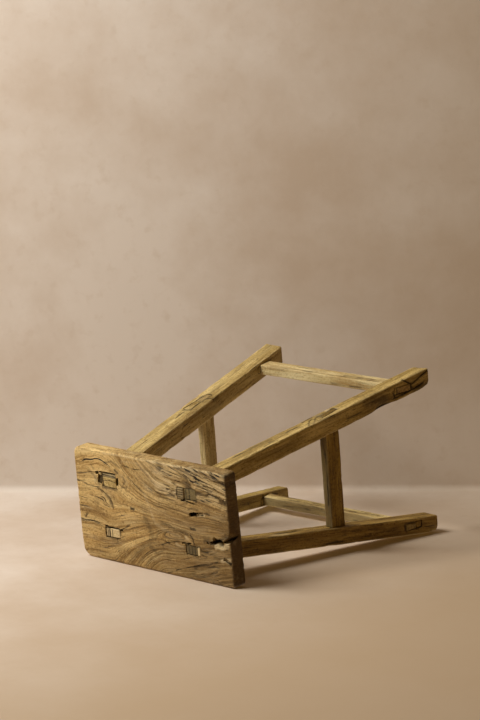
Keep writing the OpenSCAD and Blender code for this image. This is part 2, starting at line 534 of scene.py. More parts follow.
# The tables of marks are in millimetres. A place on a leg is its height above the ground and its offset from
# the middle of the leg's -X or -Y face. For cracks: the face, the path, the width and the depth
LEG_CRACKS = {
    "front_left": [
        ("x", [(56, -19), (47, -11), (39, -3), (36, 5)], 2.2, 9),
        ("x", [(38, -1), (24, -4), (12, -8), (-6, -12)], 2.4, 9),
        ("x", [(40, 8), (25, 8), (12, 6)], 1.8, 6),
        ("x", [(80, 8), (60, 9), (40, 8)], 2.2, 7),
        ("x", [(78, -2), (76, 4), (74, 9)], 1.8, 6),
        ("x", [(180, 3), (163, 3.5), (148, 4)], 0.9, 3),
        ("y", [(58, -19), (51, -11)], 1.8, 4),
        ("y", [(256, -13), (243, 2), (234, 6)], 1.6, 3),
        ("y", [(246, -13), (234, -2), (226, 4)], 1.6, 3),
        ("y", [(236, -12), (228, -6)], 1.3, 2),
        ("y", [(400, 6), (360, 7), (320, 8)], 1.0, 2),
        ("y", [(345, -8), (332, -7), (318, -9)], 1.2, 2),
        ("y", [(292, 1), (282, 3), (270, 2)], 1.4, 3),
        ("y", [(252, 10), (240, 11), (228, 12)], 1.4, 3),
        ("y", [(206, 6), (196, 2), (188, 3)], 1.4, 3),
    ],
    "front_right": [
        ("y", [(300, 2), (286, 3.5), (272, 3)], 1.2, 3),
        ("y", [(222, -5), (217, -13), (215, -23)], 2.8, 7),
        ("y", [(268, 9), (267, 2), (264, -4)], 1.8, 5),
        ("y", [(266, -4.5), (250, -4.5), (234, -3)], 2.0, 6),
        ("y", [(236, -2), (235, 3)], 1.4, 4),
        ("x", [(217, -17), (212, -10)], 2.4, 6),
    ],
    "rear_left": [
        ("y", [(326, 1), (312, 3), (298, 3), (284, 7)], 4.2, 7),
        ("x", [(240, 9), (219, 8), (205, 9)], 0.9, 3),
        ("x", [(72, -6), (70, 5)], 1.9, 6),
        ("x", [(71, -7), (55, -7.5), (44, -7)], 1.7, 6),
        ("x", [(40, -6), (38, 2)], 1.2, 5),
        ("x", [(66, 4), (50, 4.5), (40, 4)], 1.0, 4),
    ],
    "rear_right": [
        ("x", [(84, -8), (83, 7)], 3.4, 7),
        ("x", [(76, -7), (55, -7), (38, -6)], 1.2, 4),
        ("y", [(300, 2), (270, 4), (240, 3)], 1.0, 3),
    ],
}
# Hollows: the middle (its height, and its place across X and Y), the reach each way, and the depth
LEG_HOLLOWS = {
    "front_left": [
        ((215, 3, -16), (13, 6, 5), 2.6),
        ((268, 3, -16), (6, 4, 5), 1.5),
        ((328, -2, -16), (8, 4, 5), 1.3),
        ((107, 1, -16), (4, 3, 5), 1.2),
        ((137, 9, -16), (5, 3, 5), 0.9),
        ((112, -15, 16), (14, 12, 9), 2.8),
        ((94, -15, 16), (18, 12, 9), 2.2),
        ((0, -4, 16), (9, 22, 7), 4.5),
        ((0, 0, -16), (5, 30, 6), 2.0),
        ((246, -6, -16), (14, 7, 5), 1.1),
        ((300, 9, -16), (30, 4, 5), 0.7),
    ],
    "front_right": [
        ((216, -17, -14), (5, 6, 5), 3.0),
        ((206, -19, -13), (8, 5, 5), 1.4),
        ((240, 8, -16), (6, 3, 4), 0.8),
    ],
    "rear_left": [
        ((0, -8, 16), (13, 40, 8), 6.5),
        ((105, 7, -15), (5, 3, 4), 1.4),
        ((306, 4, -15), (20, 6, 6), 1.6),
    ],
    "rear_right": [
        ((52, 8, -12), (4, 3, 3), 1.2),
        ((129, -12, 1), (2.5, 3, 2), 1.2),
    ],
}
# Dark and pale marks: the face, the path, the width and the strength
LEG_DARK = {
    "front_left": [
        ("y", [(222, 6), (204, 1)], 9, 0.55),
        ("y", [(268, 3), (265, 2)], 4, 0.8),
        ("y", [(331, -2), (321, -3)], 4, 0.7),
        ("y", [(275, 14), (262, 15)], 4, 0.6),
        ("y", [(137, 9), (133, 7)], 5, 0.5),
        ("y", [(108, 1), (105, -1)], 4, 0.7),
        ("y", [(72, 16), (66, 16)], 5, 0.7),
        ("x", [(132, -8), (112, -8), (96, 2)], 16, 0.5),
        ("x", [(34, 12), (4, 13)], 6, 0.5),
    ],
    "front_right": [
        ("y", [(219, -8), (215, -20)], 5, 0.6),
        ("y", [(220, 7), (210, 7)], 3, 0.8),
        ("y", [(206, -1), (203, 2)], 3, 0.4),
        ("x", [(214, -12), (202, -12)], 7, 0.7),
        ("x", [(250, -8), (222, 0), (196, 3)], 8, 0.4),
    ],
    "rear_left": [
        ("y", [(332, 1), (285, 5)], 12, 0.6),
        ("y", [(107, 7), (103, 5)], 5, 0.7),
        ("x", [(221, 8), (216, 8)], 4, 0.7),
    ],
    "rear_right": [
        ("y", [(54, 8), (50, 8)], 5, 0.8),
        ("x", [(130, 1), (128, 1)], 4, 0.9),
    ],
}
LEG_PALE = {
    "front_left": [("y", [(199, 10), (188, 1)], 6, 0.9), ("y", [(224, 10), (212, 6)], 5, 0.5)],
    "front_right": [("y", [(226, 3), (213, 1)], 6, 0.9)],
    "rear_left": [("y", [(345, -7), (320, -11)], 8, 0.5)],
    "rear_right": [],
}


# How much wider a mark is drawn than its table says, for its ragged sides
MARK_SPREAD = 1.4


def on_face(leg, face, height, offset):
    """A point on a leg's -X or -Y face. Height and offset are in millimetres."""
    (foot, axes), size = leg_place[leg]
    up = height * MM / axes[0][2]
    across = (-size[0] / 2, offset * MM) if face == "x" else (offset * MM, -size[1] / 2)
    return to_world((foot, axes), np.array([up, *across]))


def face_path(leg, face, path):
    return [on_face(leg, face, height, offset) for height, offset in path]


def leg_marks(points, leg, kinds):
    """How strong one kind of mark is at each point of a leg."""
    found = np.zeros(len(points))
    for face, path, width, strength in kinds[leg]:
        line = stroke(points, face_path(leg, face, path), MARK_SPREAD * width * MM)
        found = paint(found, line, strength)
    return found


# ---------------------------------------------------------------- stretchers and their wedges


def rail_of(kind, leg):
    """The stretcher that a leg's long or short wedge belongs to."""
    front_rear, left_right = leg.split("_")
    return "long_stretcher_" + front_rear if kind == "long" else "short_stretcher_" + left_right


def wedge_span(kind, leg):
    """Lowest and highest height of a wedge block in its stretcher's frame."""
    frame_in = rail_place[rail_of(kind, leg)][0]
    local = to_local(frame_in, points_of(nodes[f"{kind}_wedge_{leg}"]))
    return local[:, 2].min(), local[:, 2].max()


# How far a mortise's cutter reaches outside and inside the end of its stretcher
MORTISE_OUT = 25 * MM
MORTISE_IN = 55 * MM
LEG_HOLE_SEED = 31
SEAT_HOLE_SEED = 51


def mortise_cutter(kind, leg, gap=0.7 * MM):
    """The hole through a leg for a stretcher's tenon and the wedge block beside it."""
    name = rail_of(kind, leg)
    frame_in, (length, _, height), tenon = rail_place[name]
    low, high = wedge_span(kind, leg)
    low = min(low, -height / 2) - gap
    high = max(high, height / 2) + gap
    across = tenon / 2 + gap
    start, end = -MORTISE_OUT, MORTISE_IN
    if RAILS[name][0] != leg:
        start, end = length - MORTISE_IN, length + MORTISE_OUT
    low_corner, high_corner = (start, -across, low), (end, across, high)
    return rough_box(frame_in, low_corner, high_corner, rough=0.45 * MM, seed=LEG_HOLE_SEED + LEGS.index(leg))


def through_leg(name, leg):
    """The two planes that a piece inside a leg runs between, in the order of the stretcher's direction."""
    axis = RAILS[name][2]
    outer = leg_plane(leg, axis, True)
    inner = leg_plane(leg, axis, False)
    return (outer, inner) if RAILS[name][0] == leg else (inner, outer)


def sunk(plane, depth):
    return plane[0] - plane[1] * depth, plane[1]


# Cracks on a stretcher's outer side or top: the path along it and its offset, the width and the depth
RAIL_CRACKS = {
    "long_stretcher_front": [
        ("side", [(240, 10), (180, 9), (120, 9), (50, 8)], 1.8, 3),
        ("side", [(130, 3), (90, 2), (34, 0)], 1.8, 4),
        ("side", [(290, 12), (250, 11), (210, 11)], 1.2, 2),
        ("top", [(150, 4), (120, 5), (80, 4)], 0.9, 2),
    ],
    "long_stretcher_rear": [
        ("side", [(290, 6), (250, 3), (200, 5)], 1.2, 3),
        ("side", [(180, -2), (130, 1), (70, -1)], 1.2, 3),
        ("top", [(280, 2), (240, -1), (190, 1)], 1.2, 3),
        ("top", [(120, 3), (80, 2), (50, 4)], 1.0, 3),
    ],
    "short_stretcher_left": [
        ("side", [(60, -6), (100, -9), (150, -7)], 1.1, 3),
        ("side", [(110, 4), (150, 6), (185, 3)], 0.9, 3),
        ("top", [(50, 2), (110, 4), (170, 2)], 1.0, 3),
    ],
    "short_stretcher_right": [
        ("side", [(50, 3), (100, 5), (140, 4)], 0.8, 2),
    ],
}


def rail_path(name, side, path):
    """Points on a stretcher's side or top. Places and offsets are in millimetres."""
    frame_in, (_, wide, height), _ = rail_place[name]
    line = []
    for along, offset in path:
        across = (-wide / 2, offset * MM) if side == "side" else (offset * MM, height / 2)
        line.append(to_world(frame_in, np.array([along * MM, *across])))
    return line


# How far the stretchers' tenons and wedge blocks stay under the legs' outer faces
RAIL_TENON_SUNK = 0.6 * MM
BLOCK_SUNK = 0.9 * MM


def make_rail(name, seed, wobble, tenon_play=1.6 * MM):
    """A stretcher: a worn bar between its legs, joined with a thinner core that runs on through both."""
    leg_a, leg_b, axis = RAILS[name]
    frame_in, (_, wide, height), tenon = rail_place[name]
    outer_a, outer_b = (sunk(leg_plane(leg, axis, True), RAIL_TENON_SUNK) for leg in (leg_a, leg_b))
    inner_a, inner_b = (leg_plane(leg, axis, False) for leg in (leg_a, leg_b))
    wear = worn((wide, height), seed, wobble, 1.1 * MM)
    body = loft(name + "_worn", frame_in, (0, 0), (wide, height), 2.6 * MM, inner_a, inner_b,
                nose=0.4 * MM, wear=wear)
    thin = (tenon, height - tenon_play)
    core = loft("core", frame_in, (0, 0), thin, 0.5 * MM, outer_a, outer_b,
                wear=worn(thin, seed + 5, 0.1 * MM, 0))
    join_solids(body, core)
    cutters = []
    for side, path, width, depth in RAIL_CRACKS[name]:
        facing = -frame_in[1][1] if side == "side" else frame_in[1][2]
        cutters.append(crack(rail_path(name, side, path), facing, width * MM, depth * MM, len(cutters)))
    cut(body, cutters)
    return body


def make_rail_wedge(kind, leg, seed):
    """The block that fills a leg's mortise beside the stretcher's tenon."""
    name = rail_of(kind, leg)
    frame_in, _, tenon = rail_place[name]
    low, high = wedge_span(kind, leg)
    start, end = through_leg(name, leg)
    if RAILS[name][0] == leg:
        start = sunk(start, BLOCK_SUNK)
    else:
        end = sunk(end, BLOCK_SUNK)
    size = (tenon - 0.3 * MM, high - low - 0.4 * MM)
    middle = (0, (low + high) / 2)
    return loft(f"{kind}_wedge_{leg}_split", frame_in, middle, size, 0.7 * MM, start, end,
                step=1 * MM, along=2 * MM, nose=0.6 * MM, wear=worn(size, seed, 0.12 * MM, 0.5 * MM))


# ---------------------------------------------------------------- legs and seat wedges

UP = np.array([0.0, 0.0, 1.0])
# How far each leg's tenon and seat wedge stay under the seat's top, in millimetres
TENON_SUNK = {"front_left": 3.0, "front_right": 1.4, "rear_left": 1.6, "rear_right": 0.8}
WEDGE_SUNK = {"front_left": 1.0, "front_right": 2.2, "rear_left": 0.8, "rear_right": 1.2}
# A seat wedge's upper end is less than this below the seat's top
WEDGE_SLACK = 3 * MM


def level(height):
    """The level plane at a height."""
    return np.array([0.0, 0.0, height]), UP


def head_section(node, leg):
    """Middle and size of a tenon or seat wedge at the seat's top, in its leg's frame."""
    cad = points_of(nodes[node])
    slack = LEVEL_SLACK if node.startswith("leg") else WEDGE_SLACK
    local = to_local(leg_place[leg][0], cad[cad[:, 2] > seat_top - slack])[:, 1:]
    return (local.min(0) + local.max(0)) / 2, local.max(0) - local.min(0)


def make_leg(leg, seed):
    """A leg with its own hollows and cracks, a thinner tenon through the seat, and its two mortises."""
    frame_in, size = leg_place[leg]
    wear = worn(size, seed, 0.4 * MM, 1.3 * MM, LEG_HOLLOWS[leg])
    bar = loft(f"leg_{leg}_worn", frame_in, (0, 0), size, 2.8 * MM, level(0), level(seat_low),
               nose=2.2 * MM, wear=wear)
    middle, section = head_section("leg_" + leg, leg)
    low = level(seat_low - 6 * MM)
    high = level(seat_top - TENON_SUNK[leg] * MM)
    tenon_wear = worn(section, seed + 3, 0.15 * MM, 0.6 * MM)
    tenon = loft("tenon", frame_in, middle, section, 0.9 * MM, low, high,
                 step=1.2 * MM, along=3 * MM, nose=0.7 * MM, wear=tenon_wear)
    join_solids(bar, tenon)
    cutters = [mortise_cutter("long", leg), mortise_cutter("short", leg)]
    _, side, deep = frame_in[1]
    for face, path, width, depth in LEG_CRACKS[leg]:
        facing = -side if face == "x" else -deep
        cutters.append(crack(face_path(leg, face, path), facing, width * MM, depth * MM))
    cut(bar, cutters)
    return bar


def make_seat_wedge(leg, seed):
    """The block that fills the seat's mortise beside a leg's tenon."""
    middle, section = head_section("seat_wedge_" + leg, leg)
    low = level(seat_low + 1.5 * MM)
    high = level(seat_top - WEDGE_SUNK[leg] * MM)
    return loft(f"seat_wedge_{leg}_split", leg_place[leg][0], middle, section - 0.3 * MM, 0.8 * MM, low, high,
                step=0.9 * MM, along=3 * MM, nose=0.6 * MM, wear=worn(section, seed, 0.15 * MM, 0.6 * MM))


# ---------------------------------------------------------------- seat

seat_corner_low, seat_corner_high = (np.array(corner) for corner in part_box("seat"))
SEAT_HALF = (seat_corner_high - seat_corner_low) / 2
SEAT_MIDDLE = (seat_corner_high + seat_corner_low) / 2
SEAT_EDGE = 4 * MM
SEAT_STEP = 1.35 * MM
SEAT_LAYERS = 16
# The corner radii in millimetres, rear and front, at +X and at -X
RIGHT_RADII = (19, 14)
LEFT_RADII = (5, 7)


def corner_radius(flat):
    """The radius of the seat's corner nearest to each point in plan."""
    right = np.where(flat[:, 1] > 0, *RIGHT_RADII)
    left = np.where(flat[:, 1] > 0, *LEFT_RADII)
    return np.where(flat[:, 0] > 0, right, left)[:, None] * MM


# Places where the grain's lines are pushed apart: the middle, the reach along X and Y, and how far
SEAT_SWIRLS = [
    ((-52, 32), (36, 14), -95),
    ((-96, -46), (26, 12), 40),
    ((98, -10), (34, 20), -14),
    ((-80, 46), (24, 12), 40),
]


def grain_closing(x):
    """How far the grain's lines have closed up at each place along the seat."""
    return 1.15 * smoothstep(112 * MM, -28 * MM, x) + 3.0 * np.maximum(-x, 0)


def seat_grain(points):
    """Distance across the grain. Its lines close up in a long V towards -X and curl round knots."""
    x = points[:, 0]
    y = points[:, 1]
    flat = np.column_stack([x, y, 0 * x])
    closing = grain_closing(x)
    across = (y - 6 * MM) * np.exp(closing)
    across += 9 * MM * layers(flat, mm(90, 50, 50), 41, 2) * np.exp(0.6 * closing)
    across += 2.2 * MM * layers(flat, mm(24, 12, 12), 44, 2) * np.exp(0.6 * closing)
    for centre, reach, push in SEAT_SWIRLS:
        away = (flat[:, :2] - mm(*centre)) / mm(*reach)
        across += push * MM * away[:, 1] * np.exp(-(away ** 2).sum(axis=1))
    return across


# Cracks in the seat's top: the path in X and Y, the width and the depth
SEAT_CRACKS = [
    ([(176, -38), (145, -32), (125, -30), (110, -25), (98, -17), (91, -8), (90, 2)], 1.5, 5),
    ([(176, 30), (150, 32), (125, 31)], 1.5, 5),
    ([(160, 27), (153, 20)], 1.6, 3),
    ([(113, 37), (80, 38), (68, 33), (55, 25)], 1.7, 5),
    ([(60, -77), (30, -74), (10, -76), (-20, -77)], 1.2, 3),
    ([(30, -60), (12, -51), (-2, -45), (-30, -34), (-62, -27), (-84, -24)], 1.1, 2.5),
    ([(-104, -50), (-120, -53), (-140, -52), (-162, -55)], 1.5, 4),
    ([(-114, -21), (-122, -23), (-130, -22)], 1.6, 5),
    ([(-119, 25), (-134, 25), (-150, 19), (-164, 13), (-200, 3)], 13, 24),
    ([(-126, 24), (-142, 24), (-156, 24)], 5, 14),
    ([(-12, 10), (-36, 9), (-60, 17), (-80, 20)], 0.9, 2),
    ([(-84, 19), (-90, 26), (-91, 36)], 2.2, 4),
    ([(-62, 33), (-30, 41), (10, 58)], 0.9, 2),
    ([(88, 50), (87, 60)], 1.6, 3),
    ([(-70, 50), (-75, 58)], 1.5, 3),
    ([(-104, 43), (-120, 43)], 1.8, 3),
    ([(-104, 49), (-116, 51)], 1.2, 2),
    ([(-86, 8), (-97, 8)], 3, 3),
    ([(48, -5), (42, -4)], 3.5, 3),
    ([(-20, 96), (-60, 80), (-100, 68), (-140, 56)], 0.9, 2),
    ([(20, -96), (-40, -84), (-110, -70), (-176, -60)], 1.1, 3),
    ([(-20, -100), (-80, -91), (-176, -76)], 1.2, 3),
]
# Chipped rims of the mortises, and other bites out of the top: the middle, the size, the turn and the depth
SEAT_BITES = [
    ((75, -46), (6, 14), 0, 7),
    ((115, -46), (10, 16), -8, 4),
    ((97, -58), (38, 3), 0, 5),
    ((121, -56), (7, 5), 20, 5),
    ((-103, -47), (3, 17), 0, 6),
    ((-84, -36.5), (30, 3), -4, 4),
    ((-69, -57.5), (10, 3), 5, 4),
    ((-74, 35), (22, 3), 4, 5),
    ((-102, 44), (3, 14), 0, 5),
    ((-162, 52), (18, 7), -22, 4),
    ((93, 36.5), (42, 3), -3, 5),
    ((113, 45), (3, 13), 0, 5),
    ((-96, -17.5), (15, 7), 8, 9),
    ((-111, -19.5), (15, 6), 8, 3.2),
    ((-152, 28), (26, 8), -10, 2.4),
    ((-92, -17), (14, 6), 24, 11),
]


def seat_plan(flat):
    """Distance inside the seat's rounded outline, and the way out, of each point in plan."""
    radius = corner_radius(flat)
    beyond = np.abs(flat) - (SEAT_HALF[:2] - radius)
    outside = np.maximum(beyond, 0)
    far = np.linalg.norm(outside, axis=1)
    inside = radius[:, 0] - far - np.minimum(beyond.max(axis=1), 0)
    way = np.where(beyond >= beyond.max(axis=1)[:, None], 1.0, 0.0)
    in_corner = (beyond > 0).all(axis=1)
    way[in_corner] = outside[in_corner]
    way /= np.linalg.norm(way, axis=1)[:, None]
    return inside, way * np.where(flat < 0, -1, 1)


def seat_blank():
    """The plank as a fine grid with rounded corners and edges, and each point's direction outwards."""
    counts = [*(int(2 * half / SEAT_STEP) for half in SEAT_HALF[:2]), SEAT_LAYERS]
    grid, faces = box_lattice(counts)
    flat = grid[:, :2] * SEAT_HALF[:2]
    radius = corner_radius(flat)
    core = SEAT_HALF[:2] - radius
    beyond = np.abs(flat) - core
    in_corner = (beyond > 0).all(axis=1)
    reach = beyond[in_corner]
    shrink = reach.max(axis=1) / np.linalg.norm(reach, axis=1)
    moved = core[in_corner] + reach * shrink[:, None]
    flat[in_corner] = moved * np.sign(flat[in_corner])
    inside, way = seat_plan(flat)
    inside = np.maximum(inside, 0)
    height = grid[:, 2] * SEAT_HALF[2]
    core_in = np.maximum(inside, SEAT_EDGE)
    core_up = np.minimum(np.abs(height), SEAT_HALF[2] - SEAT_EDGE)
    turn = np.column_stack([inside - core_in, np.abs(height) - core_up])
    turn /= np.linalg.norm(turn, axis=1)[:, None]
    new_in = core_in + SEAT_EDGE * turn[:, 0]
    new_up = core_up + SEAT_EDGE * turn[:, 1]
    on_rim = np.abs(height) < SEAT_HALF[2] - 1e-9
    on_flat = (inside > SEAT_EDGE) & ~on_rim
    new_in[on_flat] = inside[on_flat]
    flat = flat - way * (new_in - inside)[:, None]
    points = np.column_stack([flat, new_up * np.sign(height)])
    normals = np.column_stack([way * -turn[:, :1], turn[:, 1] * np.sign(height)])
    return points, normals, faces


# The bold grooves' spacing and width, in millimetres across the grain
BOLD_CELL = 34
BOLD_WIDTH = 2.6


def seat_groove(points):
    """Sharp grooves between growth rings, soft undulations, and how weathered each place is."""
    across = seat_grain(points)
    x = points[:, 0]
    y = points[:, 1]

    def in_grain(length, width, seed, count=1):
        """Noise stretched along the grain, from -1 to 1. The sizes are in millimetres."""
        place = np.column_stack([x / (length * MM), across / (width * MM), 0 * x])
        return layers(place, 1, seed, count)

    rings = in_grain(170, 22, 61, 2)
    bold_width = BOLD_WIDTH * MM * np.exp(grain_closing(x)) / (BOLD_CELL * MM)
    bold = np.abs(in_grain(150, BOLD_CELL, 63)) / bold_width
    broken = smoothstep(-0.3, 0.2, in_grain(24, 30, 68))
    fine = 0.9 - smoothstep(0.03, 0.24, np.abs(in_grain(110, 13, 66)))
    sharp = np.maximum(1 - smoothstep(0.06, 0.24, np.abs(rings)), fine)
    sharp = 0.75 * np.clip(sharp, 0, 1) * (0.35 + 0.65 * broken)
    sharp = np.maximum(sharp, (1 - smoothstep(0.35, 1, bold)) * (0.15 + 0.85 * broken))
    soft = smoothstep(-0.5, 0.7, rings)
    left = smoothstep(75 * MM, -60 * MM, x)
    front = smoothstep(-10 * MM, -65 * MM, y)
    rear = smoothstep(25 * MM, 80 * MM, y)
    patchy = 0.8 + 0.5 * layers(np.column_stack([x, y, 0 * x]), mm(60, 35, 35), 71)
    weathered = np.clip((0.2 + 0.25 * left + 1.1 * left * front + 0.22 * rear) * patchy, 0.05, 1.4)
    return sharp, soft, weathered


def seat_relief(points, normals):
    """How far the seat's surface is worn away at each point."""
    sharp, soft, weathered = seat_groove(points)
    top = smoothstep(0.2, 0.9, normals[:, 2])
    relief = 0.3 * MM * (1 + layers(points, mm(90, 60, 40), 21))
    relief += 0.24 * MM * (1 + layers(points, mm(5.5, 3.6, 4), 22, 2))
    relief += (1.5 * MM * sharp * weathered + 0.5 * MM * soft) * (0.25 + 0.75 * top)
    rim = 1 - smoothstep(0, 7 * MM, seat_plan(points[:, :2])[0])
    edge = rim * smoothstep(0.2, 0.6, np.abs(normals[:, 2]))
    relief += 1.3 * MM * edge * smoothstep(0.05, 0.7, layers(points, mm(16, 9, 9), 27))
    left_end = smoothstep(-150 * MM, -174 * MM, points[:, 0])
    relief += 0.5 * MM * left_end * smoothstep(0, 0.6, layers(points, mm(8, 20, 3), 29))
    return relief


# How far the seat's top is worn down, how much wider and deeper its cracks are than the table says, and how
# much wider the dirt round them is
GROOVED = 0.6 * MM
CRACK_WIDER = 0.6
CRACK_DEEPER = 1
SEAT_HALO = 1.6


def seat_cutters():
    """The mortises, cracks and bites that are cut out of the plank."""
    cutters = [seat_mortise(leg) for leg in LEGS]
    for path, width, depth in SEAT_CRACKS:
        line = [(x * MM, y * MM, seat_top - GROOVED) for x, y in path]
        cutters.append(crack(line, UP, (width + CRACK_WIDER) * MM, (depth + CRACK_DEEPER) * MM, len(cutters)))
    for middle, size, turn, depth in SEAT_BITES:
        cosine = math.cos(math.radians(turn))
        sine = math.sin(math.radians(turn))
        axes = np.array([[cosine, sine, 0], [-sine, cosine, 0], UP])
        place = (np.array([*mm(*middle), seat_top]), axes)
        half = np.array(size) / 2 * MM
        low = (*-half, -depth * MM)
        cutters.append(rough_box(place, low, (*half, 4 * MM), 2 * MM, 1.3 * MM, len(cutters)))
    return cutters


# How much further in the -X end's front corner stands than its rear corner
END_SLANT = 2 * MM


def make_seat():
    """The plank with its relief, a slightly slanted -X end, and its mortises, cracks and bites."""
    points, normals, faces = seat_blank()
    points = points - normals * seat_relief(points, normals)[:, None]
    slant = END_SLANT * (0.5 - points[:, 1] / (2 * SEAT_HALF[1]))
    points[:, 0] += slant * smoothstep(-100 * MM, -174 * MM, points[:, 0])
    seat = outward(new_piece("seat_worn", points + SEAT_MIDDLE, faces))
    cut(seat, seat_cutters())
    return seat


def seat_mortise(leg, gap=0.9 * MM, beyond=8 * MM):
    """The hole through the seat for a leg's tenon and its wedge."""
    middle, size = head_section("leg_" + leg, leg)
    wedge_middle, wedge_size = head_section("seat_wedge_" + leg, leg)
    low = np.minimum(middle - size / 2, wedge_middle - wedge_size / 2) - gap
    high = np.maximum(middle + size / 2, wedge_middle + wedge_size / 2) + gap
    frame_in = leg_place[leg][0]
    bottom = along_to(frame_in, level(seat_low - beyond), middle[None])[0]
    top = along_to(frame_in, level(seat_top + beyond), middle[None])[0]
    seed = SEAT_HOLE_SEED + LEGS.index(leg)
    return rough_box(frame_in, (bottom, *low), (top, *high), 2.4 * MM, 0.5 * MM, seed)


# Stains and worn places on the seat's top: the path in X and Y, the width and the strength
SEAT_DARK = [
    ([(16, 8), (10, 18), (4, 36)], 15, 0.4),
    ([(10, 55), (-2, 64)], 9, 0.45),
    ([(60, 88), (30, 62), (8, 42)], 10, 0.35),
    ([(30, 94), (6, 72), (-20, 54)], 8, 0.3),
    ([(140, -56), (128, -50), (118, -36)], 7, 0.5),
    ([(134, -68), (128, -62)], 5, 0.4),
    ([(100, -76), (84, -80), (66, -72)], 5, 0.55),
    ([(78, -66), (72, -62)], 5, 0.9),
    ([(60, -56), (56, -50), (62, -42)], 4, 0.6),
    ([(66, -38), (54, -40)], 4, 0.5),
    ([(122, -30), (112, -26)], 6, 0.7),
    ([(104, -20), (95, -14), (93, -4)], 7, 0.7),
    ([(130, -12), (124, -8), (126, 2)], 6, 0.3),
    ([(48, -5), (42, -4)], 5, 1),
    ([(-60, -50), (-40, -52), (-28, -48)], 3, 0.6),
    ([(-84, -24), (-94, -28), (-106, -26)], 4, 0.5),
    ([(-20, 8), (-50, 16), (-78, 18)], 6, 0.45),
    ([(-2, 40), (-10, 28), (-30, 22), (-56, 26)], 5, 0.45),
    ([(-88, 22), (-91, 34)], 5, 0.7),
    ([(-86, 8), (-97, 9)], 4, 0.9),
    ([(-104, 43), (-120, 44)], 4, 0.7),
    ([(-104, 50), (-118, 50)], 3, 0.5),
    ([(-125, 25), (-118, 24)], 3, 0.7),
    ([(-88, 75), (-96, 71), (-110, 66)], 4, 0.7),
    ([(160, 26), (152, 19)], 4, 0.6),
    ([(-110, -68), (-122, -66), (-140, -62)], 4, 0.8),
    ([(-60, -92), (-76, -88), (-98, -84)], 4, 0.8),
    ([(-96, -92), (-130, -88), (-168, -80)], 4, 0.6),
]
SEAT_PALE = [
    # The first two lines run along the rounded front edge: partly worn pale wood, partly a painted highlight
    # where the edge catches the light
    ([(104, -92), (60, -93), (0, -92.5)], 3, 0.5),
    ([(0, -93), (-80, -93), (-168, -92)], 4.5, 0.8),
    ([(60, -84), (0, -87), (-80, -84)], 4, 0.35),
    ([(-60, -80), (-120, -74), (-165, -66)], 4, 0.35),
    ([(-140, 30), (-152, 29), (-165, 25)], 10, 1.8),
    ([(-150, 52), (-172, 49)], 8, 0.85),
    ([(-104, -18), (-118, -20)], 6, 1.1),
    ([(14, -36), (2, -8), (-6, 12), (-24, 20)], 6, 0.35),
    ([(-10, 14), (-40, 24), (-60, 26)], 6, 0.35),
    ([(-50, 40), (-64, 44)], 7, 0.45),
    ([(-74, 25), (-78, 27)], 5, 0.7),
    ([(64, -60), (50, -48)], 4, 0.4),
    ([(126, -52), (128, -38)], 5, 0.3),
    ([(172, 70), (168, 76)], 5, 0.5),
    ([(90, 57), (70, 64)], 5, 0.3),
]
# Dark lines on the tops of the tenons and seat wedges: the path in X and Y, and the width
HEAD_LINES = [([(-61, y), (-75, y)], 1.6) for y in (-55, -51, -47, -43, -39)] + [
    ([(-88, -58), (-88, -37)], 3),
    ([(-80, -56), (-81, -40)], 1.5),
    ([(-71, 35), (-71, 51)], 1.8),
    ([(-77, 35), (-78, 51)], 2),
    ([(-84, 35), (-85, 51)], 1.8),
    ([(-91, 35), (-91, 51)], 2),
    ([(104, 38), (104, 54)], 2.4),
    ([(108, 38), (108, 54)], 1.4),
    ([(97, 40), (98, 52)], 1.2),
    ([(78, -53), (110, -54)], 1.8),
    ([(80, -44), (92, -46), (108, -44)], 1.2),
    ([(109, -50), (108, -36)], 2.4),
]
# How much wider than its table says each of these lines is drawn
HEAD_SPREAD = 1.5
# The marks that every piece's points carry, and how strong each is on the tops of the tenons and seat wedges
MARKS = ("dirt_and_shade", "grey", "pale", "deep")
TENON_LOOK = {
    "front_left": (0.35, 0.6, 0.0, 0.4),
    "front_right": (0.0, 0.0, 0.0, 0.1),
    "rear_left": (0.45, 0.6, 0.0, 0.5),
    "rear_right": (0.0, 0.0, 0.9, 0.0),
}
WEDGE_LOOK = {
    "front_left": (0.3, 0.4, 0.3, 0.3),
    "front_right": (0.1, 0.9, 0.3, 0.2),
    "rear_left": (0.0, 0.0, 0.8, 0.0),
    "rear_right": (0.1, 0.1, 0.6, 0.1),
}


def mortise_outline(leg):
    """Corners of a mortise's mouth in the seat's top."""
    points = np.vstack([points_of(nodes["leg_" + leg]), points_of(nodes["seat_wedge_" + leg])])
    mouth = points[points[:, 2] > seat_top - WEDGE_SLACK][:, :2]
    (left, front), (right, rear) = mouth.min(0), mouth.max(0)
    return [(left, front), (right, front), (right, rear), (left, rear), (left, front)]


def seat_strokes(mark, flat, lines, mask):
    """Adds lines, each a path, a width and a strength, to a mark where the mask allows them."""
    for path, width, strength in lines:
        mark = paint(mark, stroke(flat, mm(*path), width * MM) * mask, strength)
    return mark


